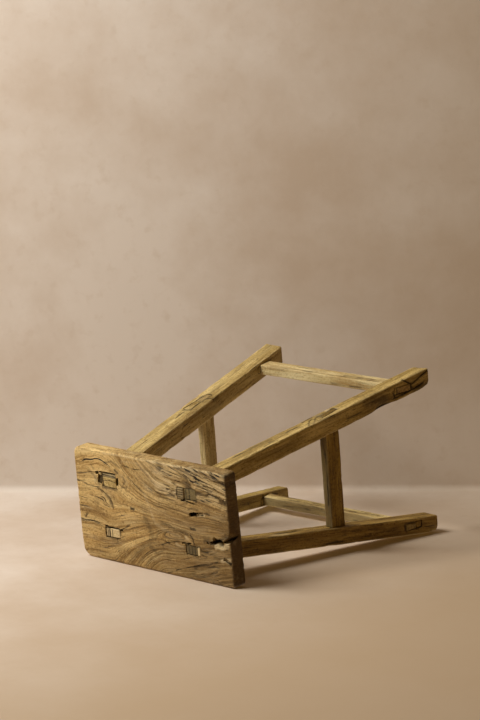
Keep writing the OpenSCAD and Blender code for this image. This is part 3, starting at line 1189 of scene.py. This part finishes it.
def mark_seat(seat):
    """Stores the marks on the seat's points."""
    points = points_of(seat)
    middle = points - SEAT_MIDDLE
    flat = points[:, :2]
    x, y, z = points.T
    on_top = smoothstep(seat_top - 3.5 * MM, seat_top - 1.2 * MM, z)
    left_end = smoothstep(-168 * MM, -172 * MM, x)
    sharp, soft, weathered = seat_groove(middle)
    inside = seat_plan(flat)[0]

    # Painted shade: the colour darkens where a point lies more than 1.9 to 3.4 mm inside the plank, down in
    # its holes, cracks, bites and deepest grooves
    dirt_and_shade = smoothstep(1.9 * MM, 3.4 * MM, np.minimum(inside, SEAT_HALF[2] - np.abs(middle[:, 2])))
    dirt_and_shade = paint(dirt_and_shade, np.minimum(sharp * weathered * (0.2 + 0.8 * on_top), 1), 0.35)
    dirt_and_shade = paint(dirt_and_shade, smoothstep(0.2, 0.8, layers(points, mm(30, 12, 12), 81)), 0.25)
    dirt_and_shade = paint(dirt_and_shade, left_end, 0.4)
    dirt_and_shade = seat_strokes(dirt_and_shade, flat, SEAT_DARK, on_top)
    broken = smoothstep(-0.5, 0.3, noise(points, 10 * MM, 77)) * on_top
    cracks = [(path, width + SEAT_HALO, 0.8) for path, width, _ in SEAT_CRACKS]
    dirt_and_shade = seat_strokes(dirt_and_shade, flat, cracks, broken)
    for leg in LEGS:
        dirt_and_shade = paint(dirt_and_shade, stroke(flat, mortise_outline(leg), 7 * MM) * broken, 0.75)

    pale = smoothstep(0.1, 0.8, layers(points, mm(50, 10, 10), 85)) * 0.3
    ridges = (1 - sharp) * smoothstep(0.45, 1.1, weathered) * on_top
    pale = paint(pale, ridges * (0.5 + 0.5 * layers(points, mm(20, 6, 6), 86)), 1.2)
    near_top = smoothstep(seat_top - 16 * MM, seat_top - 9 * MM, z)
    pale = seat_strokes(pale, flat, SEAT_PALE, near_top * (1 - left_end) * (inside > 0.8 * MM))

    # Deeper, darker tone: darker towards -X and +Y and off the top, lighter towards -Y on the top. Partly the
    # plank's own weathered tone, partly painted shade where the light falls off away from the lamp
    deep = 0.55 * smoothstep(70 * MM, -120 * MM, x) + 0.15 * smoothstep(-20 * MM, 96 * MM, y) * on_top
    deep += 0.22 * soft * on_top + 0.3 * layers(points, mm(50, 18, 18), 90)
    deep -= 0.85 * smoothstep(0, -70 * MM, y) * on_top
    deep += 0.25 * (1 - on_top)
    closed = smoothstep(0.9, 1.5, grain_closing(middle[:, 0]))
    number(seat, "dirt_and_shade", dirt_and_shade * (1 - 0.9 * smoothstep(0.5, 1, pale)))
    number(seat, "pale", pale)
    number(seat, "worn", smoothstep(0.28, 0.9, weathered) * closed * on_top)
    number(seat, "grey", smoothstep(-0.1, 0.7, layers(points, mm(60, 30, 30), 88)) * 0.1 * weathered)
    number(seat, "deep", np.clip(np.maximum(deep, left_end), 0, 1))
    vector(seat, "flow", np.column_stack([middle[:, 0], seat_grain(middle), middle[:, 2]]))


# The part of a leg's foot, along the leg, that the painted shade in its mortises and other deep holes stays
# clear of
FOOT_CLEAR = 26 * MM


def bar_marks(piece, frame_in, size, seed, dirt_and_shade=0.0, shade_holes=False):
    """Stores the flow of the grain, and gives the marks of a bar. Its last flag darkens the holes cut deep
    into it below the seat, as painted shade.
    """
    points = points_of(piece)
    local = to_local(frame_in, points)
    sway = layers(local, mm(120, 40, 40), seed + 40, 2) * 4 * MM
    flow = local + np.column_stack([0 * sway, sway, sway * 0.6])
    vector(piece, "flow", flow + np.array([seed * 0.37, seed * 0.011, 0]))
    depth = np.array(size) / 2 - np.abs(local[:, 1:])
    stains = smoothstep(0.15, 0.8, layers(local, mm(45, 12, 12), seed + 43))
    dirt_and_shade = paint(np.full(len(local), dirt_and_shade), stains, 0.35)
    if shade_holes:
        # Painted shade: points more than 1.9 to 3.2 mm inside the bar, in its mortises and cracks below the
        # seat, are darkened
        below = (points[:, 2] < seat_low - 1 * MM) & (local[:, 0] > FOOT_CLEAR)
        dirt_and_shade = paint(dirt_and_shade, smoothstep(1.9 * MM, 3.2 * MM, depth.min(axis=1)) * below)
    edge = 1 - smoothstep(1 * MM, 4 * MM, np.linalg.norm(np.maximum(depth, 0), axis=1))
    patchy = 0.5 + 0.5 * layers(local, mm(24, 9, 9), seed + 47)
    deep = smoothstep(-0.4, 0.8, layers(local, mm(80, 14, 14), seed + 49)) * 0.5
    return {"dirt_and_shade": dirt_and_shade, "grey": np.zeros(len(local)), "pale": edge * patchy * 0.4, "deep": deep}


def store_marks(piece, marks):
    for name, values in marks.items():
        number(piece, name, values)


def head_marks(piece, marks, look, above):
    """End grain on the top of a tenon or a seat wedge, with its dark lines."""
    points = points_of(piece)
    on_end = points[:, 2] > above
    for name, value in zip(MARKS, look):
        marks[name][on_end] = value
    lines = [(path, HEAD_SPREAD * width, 0.95) for path, width in HEAD_LINES]
    marks["dirt_and_shade"] = seat_strokes(marks["dirt_and_shade"], points[:, :2], lines, on_end)


def mortise_rims(points, leg):
    """Dark dirt round the mouths of a leg's two mortises."""
    found = np.zeros(len(points))
    for kind in ("long", "short"):
        frame_in, (_, _, height), tenon = rail_place[rail_of(kind, leg)]
        spans = [(-height / 2, height / 2), wedge_span(kind, leg)]
        local = to_local(frame_in, points)
        for bottom, top in spans:
            beyond = np.column_stack([
                np.abs(local[:, 1]) - tenon / 2,
                np.abs(local[:, 2] - (bottom + top) / 2) - (top - bottom) / 2,
            ])
            away = np.abs(np.linalg.norm(np.maximum(beyond, 0), axis=1) + np.minimum(beyond.max(axis=1), 0))
            ragged = 1 + 0.9 * layers(points, 6 * MM, 93, 2)
            kept = 0.25 + 0.75 * smoothstep(-0.3, 0.2, noise(points, 9 * MM, 95))
            found = paint(found, (1 - smoothstep(0.5 * MM, 2.0 * MM, away * ragged)) * kept)
    return found


# How much wider than a leg's or stretcher's crack its dirt is, and the brown streak on a stretcher's crack
CRACK_HALO = 2
RAIL_STREAK = 12 * MM
# How grey each stretcher's upper side is, and how much darker brown it is painted. That brown, on the rear
# and left stretchers, is painted shade where the stool shadows their upper sides
RAIL_LOOK = {
    "long_stretcher_front": (0.25, 0.0),
    "long_stretcher_rear": (0.5, 0.75),
    "short_stretcher_left": (0.35, 0.75),
    "short_stretcher_right": (0.3, 0.0),
}


def mark_leg(piece, leg, seed):
    frame_in, size = leg_place[leg]
    marks = bar_marks(piece, frame_in, size, seed, shade_holes=True)
    points = points_of(piece)
    dirt_and_shade = paint(marks["dirt_and_shade"], leg_marks(points, leg, LEG_DARK))
    dirt_and_shade = paint(dirt_and_shade, mortise_rims(points, leg), 0.8)
    for face, path, width, _ in LEG_CRACKS[leg]:
        dirt_and_shade = paint(dirt_and_shade, stroke(points, face_path(leg, face, path), (width + CRACK_HALO) * MM), 0.85)
    marks["dirt_and_shade"] = dirt_and_shade
    marks["pale"] = paint(marks["pale"], leg_marks(points, leg, LEG_PALE))
    head_marks(piece, marks, TENON_LOOK[leg], seat_low + 4 * MM)
    store_marks(piece, marks)


def mark_rail(rail, name, seed):
    frame_in, size, _ = rail_place[name]
    grey, brown = RAIL_LOOK[name]
    marks = bar_marks(rail, frame_in, size[1:], seed)
    points = points_of(rail)
    along, _, up = to_local(frame_in, points).T
    upper = smoothstep(size[2] / 2 - 3 * MM, size[2] / 2 - 1 * MM, up)
    at_end = 1 - smoothstep(4 * MM, 10 * MM, np.minimum(along, size[0] - along))
    marks["grey"] = paint(marks["grey"], upper, grey)
    # Painted shade: the upper sides of the shadowed stretchers are turned darker brown
    marks["deep"] = paint(paint(marks["deep"], at_end, 0.75), upper, brown)
    broken = smoothstep(-0.5, 0.3, noise(points, 12 * MM, seed))
    for side, path, width, _ in RAIL_CRACKS[name]:
        line = rail_path(name, side, path)
        dark = stroke(points, line, (width + CRACK_HALO) * MM) * broken
        marks["dirt_and_shade"] = paint(marks["dirt_and_shade"], dark, 0.85)
        marks["deep"] = paint(marks["deep"], stroke(points, line, RAIL_STREAK), 0.45)
    store_marks(rail, marks)


# ---------------------------------------------------------------- materials


def tone(red, green, blue):
    """A colour given as 0 to 255 on a screen, as the shader takes it."""
    values = [value / 255 for value in (red, green, blue)]
    return (*[v / 12.92 if v < 0.04045 else ((v + 0.055) / 1.055) ** 2.4 for v in values], 1)


class Shader:
    """Short ways to add nodes to one material."""

    def __init__(self, name):
        self.material = bpy.data.materials.new(name)
        self.material.use_nodes = True
        self.tree = self.material.node_tree
        self.shader = self.tree.nodes["Principled BSDF"]

    def put(self, socket, value):
        if isinstance(value, bpy.types.NodeSocket):
            self.tree.links.new(value, socket)
        else:
            socket.default_value = value

    def node(self, kind, output, inputs, **settings):
        """Adds a node and gives one of its outputs. Each input is a value or another node's output."""
        found = self.tree.nodes.new("ShaderNode" + kind)
        for name, value in settings.items():
            setattr(found, name, value)
        for name, value in inputs.items():
            self.put(found.inputs[name], value)
        return found.outputs[output]

    def attribute(self, name, output="Fac"):
        return self.node("Attribute", output, {}, attribute_name=name)

    def noise(self, source, scale, detail=3.0, rough=0.55):
        place = self.node("Mapping", "Vector", {"Scale": scale, "Vector": source})
        look = {"Scale": 1, "Detail": detail, "Roughness": rough}
        return self.node("TexNoise", "Fac", {**look, "Vector": place})

    def ramp(self, source, stops):
        found = self.tree.nodes.new("ShaderNodeValToRGB")
        elements = found.color_ramp.elements
        while len(elements) < len(stops):
            elements.new(0.5)
        for element, (place, colour) in zip(elements, stops):
            element.position = place
            element.color = colour
        self.put(found.inputs["Fac"], source)
        return found.outputs["Color"]

    def level(self, source, low, high, start=0.0, end=1.0):
        """Takes low to start and high to end, and nothing beyond them."""
        ends = {"From Min": low, "From Max": high, "To Min": start, "To Max": end}
        return self.node("MapRange", "Result", {**ends, "Value": source})

    def maths(self, kind, a, b):
        return self.node("Math", 0, {0: a, 1: b}, operation=kind)

    def mix(self, factor, a, b):
        return self.node("Mix", "Result", {"Factor": factor, "A": a, "B": b}, data_type="RGBA")

    def bump(self, height, distance, strength):
        return self.node("Bump", "Normal", {"Distance": distance, "Strength": strength, "Height": height})


# The tints that the marks on a piece's points bring in. The darkest tint is dirt, and also painted shade in
# holes, cracks and recesses
DIRT_AND_SHADE = tone(22, 14, 7)
PALE = tone(226, 204, 158)
GREY = tone(134, 126, 94)
DEEP = tone(94, 68, 24)


def wood_tints(lines, fibre, patch, fleck, streaks, light, dark):
    """Where each noise turns the wood light or dark: the noise, its range, the strength and the tint."""
    return [
        (lines, 0.47, 0.34, streaks, dark),
        (lines, 0.55, 0.68, 0.6, light),
        (fibre, 0.5, 0.34, streaks * 0.8, dark),
        (fibre, 0.55, 0.72, 0.5, light),
        (patch, 0.52, 0.74, 0.3, dark),
        (fleck, 0.46, 0.30, 0.9, dark),
        (fleck, 0.55, 0.70, 0.65, light),
    ]


def wood(name, light, middle, dark, streaks, checks=0.75, bump=0.55, gashes=False):
    """Weathered wood. Its grain follows the piece's own flow, and its marks come from the piece's points.

    gashes adds broken black lines between the growth rings, where the points say that the wood is worn.
    """
    light, middle, dark = tone(*light), tone(*middle), tone(*dark)
    make = Shader(name)
    flow = make.attribute("flow", "Vector")
    broad = make.noise(flow, (6, 60, 60))
    lines = make.noise(flow, (11, 170, 170), 3, 0.6)
    fibre = make.noise(flow, (20, 430, 430), 4, 0.62)
    pores = make.noise(flow, (75, 520, 520), 2)
    split = make.noise(flow, (11, 330, 330), 2)
    patch = make.noise(flow, (14, 34, 34))
    fleck = make.noise(make.node("TexCoord", "Object", {}), (240, 240, 240), 3, 0.75)
    colour = make.ramp(broad, [(0.30, dark), (0.47, middle), (0.68, light)])
    for source, low, high, amount, tint in wood_tints(lines, fibre, patch, fleck, streaks, light, dark):
        colour = make.mix(make.level(source, low, high, 0, amount), colour, tint)
    deep = make.mix(make.level(lines, 0.38, 0.6), DEEP, dark)
    colour = make.mix(make.attribute("deep"), colour, deep)
    colour = make.mix(make.level(pores, 0.37, 0.29, 0, 0.7), colour, DIRT_AND_SHADE)
    colour = make.mix(make.level(split, 0.35, 0.29, 0, checks), colour, DIRT_AND_SHADE)
    uneven = make.level(fibre, 0.35, 0.6, 0.45, 1)
    crust = make.level(broad, 0.3, 0.6, 1.0, 0.85)
    # The dark mark is dirt and stains, and also painted shade in holes and recesses
    for mark, cover, tint in (("grey", uneven, GREY), ("pale", uneven, PALE), ("dirt_and_shade", crust, DIRT_AND_SHADE)):
        colour = make.mix(make.maths("MULTIPLY", make.attribute(mark), cover), colour, tint)
    height = make.maths("ADD", fibre, make.maths("MULTIPLY", pores, 0.35))
    height = make.maths("ADD", height, make.maths("MULTIPLY", fleck, 0.8))
    if gashes:
        gash = black_lines(make, flow)
        colour = make.mix(gash, colour, DIRT_AND_SHADE)
        height = make.maths("SUBTRACT", height, make.maths("MULTIPLY", gash, 1.5))
    height = make.maths("ADD", height, make.maths("MULTIPLY", lines, 1.2))
    height = make.maths("ADD", height, make.level(split, 0.35, 0.29, 0, -0.5))
    make.put(make.shader.inputs["Base Color"], colour)
    make.put(make.shader.inputs["Roughness"], make.level(fibre, 0.3, 0.7, 0.74, 0.52))
    make.shader.inputs["Specular IOR Level"].default_value = 0.3
    make.put(make.shader.inputs["Normal"], make.bump(height, 1.1 * MM, bump))
    return make.material


def black_lines(make, flow):
    """Broken lines along the grain, where the points are worn."""
    wander = make.maths("SUBTRACT", make.noise(flow, (12, 27, 27), 1.5), 0.5)
    line = make.level(make.maths("ABSOLUTE", wander, 0), 0.045, 0.02)
    dashes = make.level(make.noise(flow, (55, 60, 60), 2), 0.46, 0.53)
    return make.maths("MULTIPLY", make.maths("MULTIPLY", line, dashes), make.attribute("worn"))


# ---------------------------------------------------------------- pieces

# Each wood's light, middle and dark tone, and how strong its dark streaks are
WOODS = {
    "leg_wood_front_left": ((210, 183, 119), (178, 150, 84), (116, 90, 36), 0.7),
    "leg_wood_front_right": ((216, 191, 130), (190, 164, 102), (134, 106, 50), 0.65),
    # Darker than the other legs: partly its own tone, partly painted shade where the front-left leg shadows
    # it
    "leg_wood_rear_left": ((184, 152, 80), (152, 119, 52), (96, 70, 24), 0.7),
    "leg_wood_rear_right": ((204, 178, 104), (173, 146, 74), (114, 88, 36), 0.7),
    "long_front_wood": ((234, 218, 168), (214, 194, 138), (166, 128, 68), 0.65),
    "long_rear_wood": ((232, 212, 152), (208, 184, 120), (138, 110, 58), 0.6),
    # Much darker than the other stretchers: partly its own tone, partly painted shade where the seat and the
    # front-left leg shadow it
    "short_left_wood": ((184, 150, 64), (140, 108, 32), (76, 54, 8), 0.8),
    "short_right_wood": ((230, 212, 156), (206, 182, 122), (146, 116, 62), 0.6),
    "wedge_wood": ((222, 200, 146), (196, 168, 108), (140, 108, 60), 0.7),
}
woods = {name: wood(name, *look) for name, look in WOODS.items()}
seat_wood = wood("seat_wood", (232, 202, 138), (204, 168, 104), (130, 98, 48), 0.7, 0.95, 1.0, gashes=True)

# The first seed of each kind of piece, the step to the next leg or stretcher, and how far a seat wedge's seed
# is from its leg's
LEG_SEED = 100
BLOCK_SEEDS = {"long": 340, "short": 350}
RAIL_SEED = 400
SEED_STEP = 20
WEDGE_AFTER = 200
# A section so large that none of a wedge block's points are near its edges
NO_EDGES = (1, 1)
# How unevenly a stretcher is planed, in millimetres, where it isn't 0.5
RAIL_WOBBLE = {"long_stretcher_rear": 0.9}


def make_head(leg, seed):
    """A leg, and the wedge that tightens its tenon in the seat."""
    piece = make_leg(leg, seed)
    mark_leg(piece, leg, seed)
    finish_piece(piece, "leg_" + leg, woods["leg_wood_" + leg])
    wedge = make_seat_wedge(leg, seed + WEDGE_AFTER)
    size = head_section("seat_wedge_" + leg, leg)[1]
    marks = bar_marks(wedge, leg_place[leg][0], size, seed + WEDGE_AFTER)
    head_marks(wedge, marks, WEDGE_LOOK[leg], seat_low)
    store_marks(wedge, marks)
    finish_piece(wedge, "seat_wedge_" + leg, woods["wedge_wood"])


def make_block(kind, leg, seed):
    """The wedge block beside a stretcher's tenon."""
    block = make_rail_wedge(kind, leg, seed)
    frame_in = rail_place[rail_of(kind, leg)][0]
    store_marks(block, bar_marks(block, frame_in, NO_EDGES, seed, 0.05))
    finish_piece(block, f"{kind}_wedge_{leg}", woods["leg_wood_" + leg])


def make_stretcher(name, seed):
    rail = make_rail(name, seed, RAIL_WOBBLE.get(name, 0.5) * MM)
    mark_rail(rail, name, seed)
    material = woods[name.replace("stretcher_", "") + "_wood"]
    finish_piece(rail, name, material)


def make_pieces():
    seat = make_seat()
    mark_seat(seat)
    finish_piece(seat, "seat", seat_wood)
    for n, leg in enumerate(LEGS):
        make_head(leg, LEG_SEED + SEED_STEP * n)
        for kind, seed in BLOCK_SEEDS.items():
            make_block(kind, leg, seed + n)
    for n, name in enumerate(RAILS):
        make_stretcher(name, RAIL_SEED + SEED_STEP * n)


make_pieces()

# ---------------------------------------------------------------- floor and light


def floor_level():
    """The plane that the stool lies on: it touches the rear feet and the seat's rear edge."""
    foot = max(level_box(points_of(nodes["leg_rear_" + side]), 0)[1][1] for side in ("left", "right"))
    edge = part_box("seat")[1].y
    down = unit(np.array([0, seat_top, foot - edge]))
    return np.array([0, foot, 0]) + down * FLOOR_GAP * MM, down


# The gap under the stool, in millimetres
FLOOR_GAP = 0.3
STAGE_REACH = 7.0
# The wall rises from the floor in a curve
WALL_CURVE = 12 * MM
CURVE_STEPS = 6
# How far the wall stands behind the stool, and the way it faces along the floor
WALL_BEHIND = 0.21
WALL_FACING = (-0.64, 0, 0.77)
PLASTER_TONES = (tone(216, 204, 192), tone(198, 180, 162), tone(188, 164, 134))
floor_at, floor_down = floor_level()


def plaster(name, light, dark, warm):
    """Pale plaster, darker and warmer towards -X: painted shade, the light falling off away from the key
    lamp. It is clear from behind and casts no shadow.
    """
    make = Shader(name)
    geometry = make.tree.nodes.new("ShaderNodeNewGeometry")
    place = geometry.outputs["Position"]
    cloud = make.noise(place, (3.2, 3.2, 3.2), 6, 0.62)
    speck = make.noise(place, (45, 45, 45), 4)
    colour = make.ramp(cloud, [(0.34, dark), (0.62, light)])
    colour = make.mix(make.level(speck, 0.56, 0.75, 0, 0.4), colour, dark)
    # Painted shade: darker, warmer plaster towards -X
    sideways = make.node("SeparateXYZ", "X", {0: place})
    colour = make.mix(make.level(sideways, 0.25, -0.5, 0, 0.9), colour, warm)
    make.put(make.shader.inputs["Base Color"], colour)
    make.shader.inputs["Roughness"].default_value = 0.8
    make.shader.inputs["Specular IOR Level"].default_value = 0.2
    make.put(make.shader.inputs["Normal"], make.bump(speck, 1.5 * MM, 0.2))
    shadow_ray = make.node("LightPath", "Is Shadow Ray", {})
    hidden = make.maths("MAXIMUM", geometry.outputs["Backfacing"], shadow_ray)
    surfaces = {0: hidden, 1: make.shader.outputs[0], 2: make.node("BsdfTransparent", 0, {})}
    make.put(make.tree.nodes["Material Output"].inputs["Surface"], make.node("MixShader", 0, surfaces))
    return make.material


def make_stage():
    """A plain floor under the stool, and a plain wall that rises from it in a small curve."""
    facing = np.array(WALL_FACING)
    facing = unit(facing - floor_down * (facing @ floor_down))
    across = np.cross(floor_down, facing)
    foot = floor_at - facing * (WALL_BEHIND + floor_at @ facing)
    profile = [facing * STAGE_REACH]
    for n in range(CURVE_STEPS + 1):
        angle = math.pi / 2 * n / CURVE_STEPS
        inward, upward = 1 - math.sin(angle), 1 - math.cos(angle)
        profile.append((facing * inward - floor_down * upward) * WALL_CURVE)
    profile.append(-floor_down * STAGE_REACH)
    points = [foot + p + side * across * STAGE_REACH for p in profile for side in (-1, 1)]
    faces = [[2 * n, 2 * n + 1, 2 * n + 3, 2 * n + 2] for n in range(len(profile) - 1)]
    stage = new_piece("floor", points, faces)
    if np.dot(stage.data.polygons[0].normal, floor_down) > 0:
        stage.data.flip_normals()
    stage.data.shade_smooth()
    stage.data.materials.append(plaster("plaster", *PLASTER_TONES))
    stage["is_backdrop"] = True


# What the lamps aim at, and each lamp: its direction given as right, up and towards the camera, its distance,
# size, power and colour
LAMP_AIM = Vector((0, 0, 0.25))
KEY = ((-0.64, 0.74, 0.32), 2.4, 1.15, 59, (1.0, 0.98, 0.935))
REAR_FILL = ((0.1, -0.95, -0.25), 2.5, 0.5, 20, (1.0, 0.95, 0.88))
ROOM_TONE = tone(255, 206, 104)
ROOM_STRENGTH = 0.11
BACKDROP_TONE = tone(200, 178, 156)


def make_lamp(name, way, distance, size, power, colour):
    """A soft square light that faces the stool."""
    right, top, back = view_axes(CAMERA_AIM - CAMERA_AT, CAMERA_UP)
    offset = (right * way[0] + top * way[1] + back * way[2]).normalized() * distance
    data = bpy.data.lights.new(name, "AREA")
    data.shape = "SQUARE"
    data.size = size
    data.energy = power
    data.color = colour
    lamp = add_object(name, data)
    look_at(lamp, LAMP_AIM + offset, LAMP_AIM, CAMERA_UP)
    return lamp


def light_only_pieces(lamp):
    """Keeps a lamp off the stage."""
    lit = bpy.data.collections.new("lit_by_" + lamp.name)
    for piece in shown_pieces():
        lit.objects.link(piece)
    lamp.light_linking.receiver_collection = lit


def make_world():
    """Faint warm light from all round, and an even backdrop where the camera sees past the stage."""
    world = bpy.data.worlds.new("room")
    bpy.context.scene.world = world
    world.use_nodes = True
    tree = world.node_tree
    room = tree.nodes["Background"]
    room.inputs["Color"].default_value = ROOM_TONE
    room.inputs["Strength"].default_value = ROOM_STRENGTH
    backdrop = tree.nodes.new("ShaderNodeBackground")
    backdrop.inputs["Color"].default_value = BACKDROP_TONE
    path = tree.nodes.new("ShaderNodeLightPath")
    mix = tree.nodes.new("ShaderNodeMixShader")
    tree.links.new(path.outputs["Is Camera Ray"], mix.inputs[0])
    tree.links.new(room.outputs[0], mix.inputs[1])
    tree.links.new(backdrop.outputs[0], mix.inputs[2])
    tree.links.new(mix.outputs[0], tree.nodes["World Output"].inputs["Surface"])


make_stage()
make_lamp("key", *KEY)
light_only_pieces(make_lamp("rear_fill", *REAR_FILL))
make_world()
bpy.context.scene.view_settings.view_transform = "Standard"
